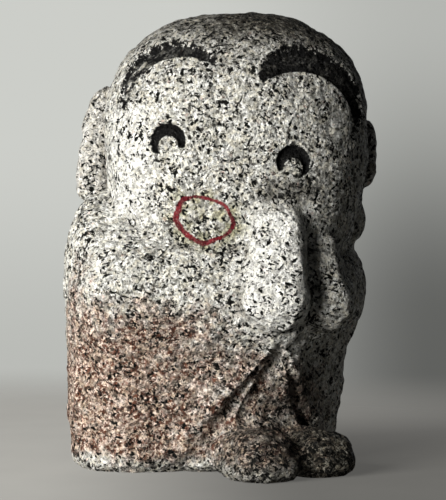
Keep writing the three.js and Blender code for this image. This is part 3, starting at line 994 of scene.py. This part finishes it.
class STATUE_OT_carve(bpy.types.Operator):
    """Carves the statue's stone, with its face, its pecked surface and its granite"""

    bl_idname = "statue.carve"
    bl_label = "Carve the statue"

    def execute(self, context):
        sizes = context.scene.statue_sizes
        deselect_all()
        bpy.ops.mesh.primitive_uv_sphere_add(segments=SKIN_COLUMNS, ring_count=SKIN_ROWS, radius=1)
        piece = context.active_object
        piece.name = "carved_stone"
        lay_skin(piece)
        piece.data.remesh_voxel_size = sizes.mesh_step * SCALE
        bpy.ops.object.voxel_remesh()
        refine_face(piece)
        mesh = piece.data
        points = settle(to_carver(mesh_points(mesh)))
        self.cut(points, mesh, sizes)
        bpy.ops.object.shade_smooth()
        mesh.materials.clear()
        mesh.materials.append(granite_material(sizes, context.scene.statue_colours))
        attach(piece, "root")
        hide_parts("jizo_statue")
        return {"FINISHED"}

    def cut(self, points, mesh, sizes):
        """Cuts the face and pecks the stone, and writes what the granite reads at each point."""
        fields = face_fields(points)
        _, crease = joined_masses(points)
        outward = slope(points)
        outward /= np.maximum(np.linalg.norm(outward, axis=1, keepdims=True), 1e-6)
        depth = self.cut_depth(fields, sizes)
        peck = self.peck_depth(points, fields, sizes) + DRESSING["crease"] * crease
        on_base = points[:, 2] <= 1e-6
        peck[on_base] = 0
        carved = to_frame(points - outward * (depth + peck)[:, None])
        low, high = (np.array(corner) for corner in CAD_BOX)
        carved = np.clip(carved, low, high)
        carved[on_base, 2] = low[2]
        set_points(mesh, carved)
        fields["lobe"] = ear_side(points, 60, 4)
        fields["stain"] = stain_field(points)
        fields["grime_and_shade"] = grime_and_shade_field(points, outward[:, 2], crease)
        fields["painted_light"] = painted_light_field(points, fields["grime_and_shade"])
        del fields["brow_root"]  # the granite doesn't read it
        for name, values in fields.items():
            layer = mesh.attributes.new(name, "FLOAT", "POINT")
            layer.data.foreach_set("value", values.astype(np.float32))

    def cut_depth(self, fields, sizes):
        """How deep the brows and eyes are cut: the brows run out upwards and at their roots."""
        left = mix(1, BROW_SHALLOW["top"], fields["brow_rise"] ** BROW_SHALLOW["bend"])
        left *= mix(1, BROW_SHALLOW["root"], fields["brow_root"])
        brows = smooth(-fields["brow"], *BROW_EDGE) * left * sizes.brow_depth
        eyes = smooth(-fields["eye"], *EYE_EDGE) * sizes.eye_depth
        return np.maximum(brows, eyes) * 1000

    def peck_depth(self, points, fields, sizes):
        """How deep the stone is pecked: half as deep under the paint."""
        paint = smooth(-fields["brow"], *PAINT_EDGE) + smooth(-fields["eye"], *PAINT_EDGE)
        kept = 1 - DRESSING["painted"] * np.clip(paint, 0, 1)
        return roughness(points) * sizes.peck_depth * 1000 * kept


# The photograph's own place of view, from the statue's middle
VIEW_TURN = math.radians(-30)
RIGHT = Vector((math.cos(VIEW_TURN), math.sin(VIEW_TURN), 0))
TOWARD = Vector((math.sin(VIEW_TURN), -math.cos(VIEW_TURN), 0))
VIEW_DISTANCE = 0.820
VIEW_HEIGHT = 0.1091
FOCAL_SHARE = 1591 / 500  # focal length over the picture's longer side
SHIFT_SHARE = 13 / 500
SENSOR = 36.0

# The window light, from the camera's left
LAMP_TURN = math.radians(44)
LAMP_RISE = math.radians(10)
LAMP_SIZE = 0.65
LAMP_DISTANCE = 1.1
LAMP_AIM = 0.115

# The round floor, and where its light is strongest across and towards the camera
FLOOR_RADIUS = 0.95
FLOOR_MIDDLE = (-0.13, 0.02)
FLOOR_FADE = (0.28, 0.72)


def aim(thing, name, way):
    """Names a camera or a lamp, and turns it to look back along a way."""
    thing.name = name
    thing.rotation_mode = "QUATERNION"
    thing.rotation_quaternion = (-way).to_track_quat("-Z", "Y")


class STATUE_OT_stage(bpy.types.Operator):
    """Sets the camera, the soft light, the plain floor and the backdrop"""

    bl_idname = "statue.stage"
    bl_label = "Set the stage"

    def execute(self, context):
        settings = context.scene.stage_settings
        self.camera(context)
        self.lights(settings)
        self.floor(settings)
        self.world(context, settings)
        context.scene.view_settings.view_transform = "Standard"
        return {"FINISHED"}

    def camera(self, context):
        place = Vector(AXIS / 1000) + TOWARD * VIEW_DISTANCE + Vector((0, 0, VIEW_HEIGHT))
        bpy.ops.object.camera_add(location=place)
        camera = context.active_object
        aim(camera, "photo_camera", TOWARD)
        camera.data.sensor_width = SENSOR
        camera.data.lens = SENSOR * FOCAL_SHARE
        camera.data.shift_x = SHIFT_SHARE
        camera.data.clip_start, camera.data.clip_end = 0.01, 20
        context.scene.camera = camera

    def lights(self, settings):
        level = -RIGHT * math.sin(LAMP_TURN) + TOWARD * math.cos(LAMP_TURN)
        way = level * math.cos(LAMP_RISE) + Vector((0, 0, math.sin(LAMP_RISE)))
        place = Vector((0, 0, LAMP_AIM)) + way * LAMP_DISTANCE
        bpy.ops.object.light_add(type="AREA", location=place)
        lamp = bpy.context.active_object
        aim(lamp, "window_light", way)
        lamp.data.shape = "SQUARE"
        lamp.data.size = LAMP_SIZE
        lamp.data.energy = settings.key
        lamp.data.color = (1.0, 0.99, 0.965)

    def floor(self, settings):
        """A pale round floor that fades out at its edge, with painted shadow that darkens it to the
        right and near by, and a glow that paints light sent back from it.
        """
        bpy.ops.mesh.primitive_circle_add(vertices=96, radius=FLOOR_RADIUS, fill_type="NGON")
        floor = bpy.context.active_object
        floor.name = "floor"
        material = bpy.data.materials.new("plain_floor")
        material.use_nodes = True
        weave = Weave(material.node_tree)
        place = weave.node("ShaderNodeTexCoord").outputs["Object"]
        centre = RIGHT * FLOOR_MIDDLE[0] + TOWARD * FLOOR_MIDDLE[1]
        reach = weave.vector("LENGTH", weave.vector("SUBTRACT", place, tuple(centre)))
        mottle = weave.ramp(weave.noise(place, 0.05, detail=3.0), 0.3, 0.7, 0.96, 1.04)
        # Painted shadow: the statue's soft shadow, darker to the right and near by
        across = weave.ramp(weave.along(place, RIGHT), -0.10, 0.04)
        near = weave.ramp(weave.along(place, TOWARD), -0.30, 0.02, 0.35, 0.62)
        painted_shade = weave.minus(1.0, weave.times(across, near))
        colour = weave.scaled(weave.scaled(settings.floor, mottle), painted_shade)
        matt = weave.node("ShaderNodeBsdfDiffuse", inputs={"Color": colour, "Roughness": 0.8})
        bounce = weave.node("ShaderNodeEmission", inputs={
            "Color": weave.scaled(settings.glow, painted_shade), "Strength": 1.0,
        })
        both = weave.node("ShaderNodeAddShader")
        weave.put(both.inputs[0], matt.outputs[0])
        weave.put(both.inputs[1], bounce.outputs[0])
        clear = weave.node("ShaderNodeBsdfTransparent").outputs[0]
        surface = weave.blended(weave.ramp(reach, *FLOOR_FADE), both.outputs[0], clear)
        weave.node("ShaderNodeOutputMaterial", inputs={"Surface": surface})
        floor.data.materials.append(material)

    def world(self, context, settings):
        """A plain backdrop with painted shade, darker low on the right, and faint light from round and
        from behind.
        """
        world = context.scene.world or bpy.data.worlds.new("studio")
        context.scene.world = world
        world.use_nodes = True
        weave = Weave(world.node_tree)
        way = weave.node("ShaderNodeTexCoord").outputs["Generated"]
        rise = weave.along(way, (0, 0, 1))
        # Painted shade on the backdrop: darker low on the right
        across = weave.ramp(weave.along(way, RIGHT), -0.03, 0.14)
        low = weave.ramp(rise, 0.15, -0.04, 0.24, 0.76)
        painted_shade = weave.minus(1.0, weave.times(across, low))
        painted_shade = weave.times(painted_shade, weave.ramp(rise, -0.08, 0.07, 0.87, 1.08))
        shade = weave.scaled(settings.backdrop, painted_shade)
        seen = weave.node("ShaderNodeBackground", inputs={"Color": shade, "Strength": 1.0})
        behind = weave.ramp(weave.along(way, -TOWARD), 0.70, 1.0, 0.0, settings.back)
        around = weave.node("ShaderNodeBackground", inputs={
            "Color": (0.93, 0.97, 1.0), "Strength": weave.plus(settings.fill, behind),
        })
        camera_ray = weave.node("ShaderNodeLightPath").outputs["Is Camera Ray"]
        surface = weave.blended(camera_ray, around.outputs[0], seen.outputs[0])
        weave.node("ShaderNodeOutputWorld", inputs={"Surface": surface})


class STATUE_PT_panel(bpy.types.Panel):
    bl_label = "Statue"
    bl_idname = "STATUE_PT_panel"
    bl_space_type = "VIEW_3D"
    bl_region_type = "UI"
    bl_category = "Statue"

    def draw(self, context):
        layout = self.layout
        for group in ("statue_sizes", "statue_colours", "stage_settings"):
            settings = getattr(context.scene, group)
            box = layout.box()
            for name in settings.__annotations__:
                box.prop(settings, name)
        layout.operator(STATUE_OT_carve.bl_idname)
        layout.operator(STATUE_OT_stage.bl_idname)


CLASSES = (StatueSizes, StatueColours, StageSettings, STATUE_OT_carve, STATUE_OT_stage, STATUE_PT_panel)


def register():
    for entry in CLASSES:
        bpy.utils.register_class(entry)
    bpy.types.Scene.statue_sizes = PointerProperty(type=StatueSizes)
    bpy.types.Scene.statue_colours = PointerProperty(type=StatueColours)
    bpy.types.Scene.stage_settings = PointerProperty(type=StageSettings)


def unregister():
    del bpy.types.Scene.statue_sizes
    del bpy.types.Scene.statue_colours
    del bpy.types.Scene.stage_settings
    for entry in reversed(CLASSES):
        bpy.utils.unregister_class(entry)


def main():
    register()
    bpy.ops.statue.carve()
    bpy.ops.statue.stage()
    bpy.context.view_layer.update()


if __name__ == "__main__":
    main()
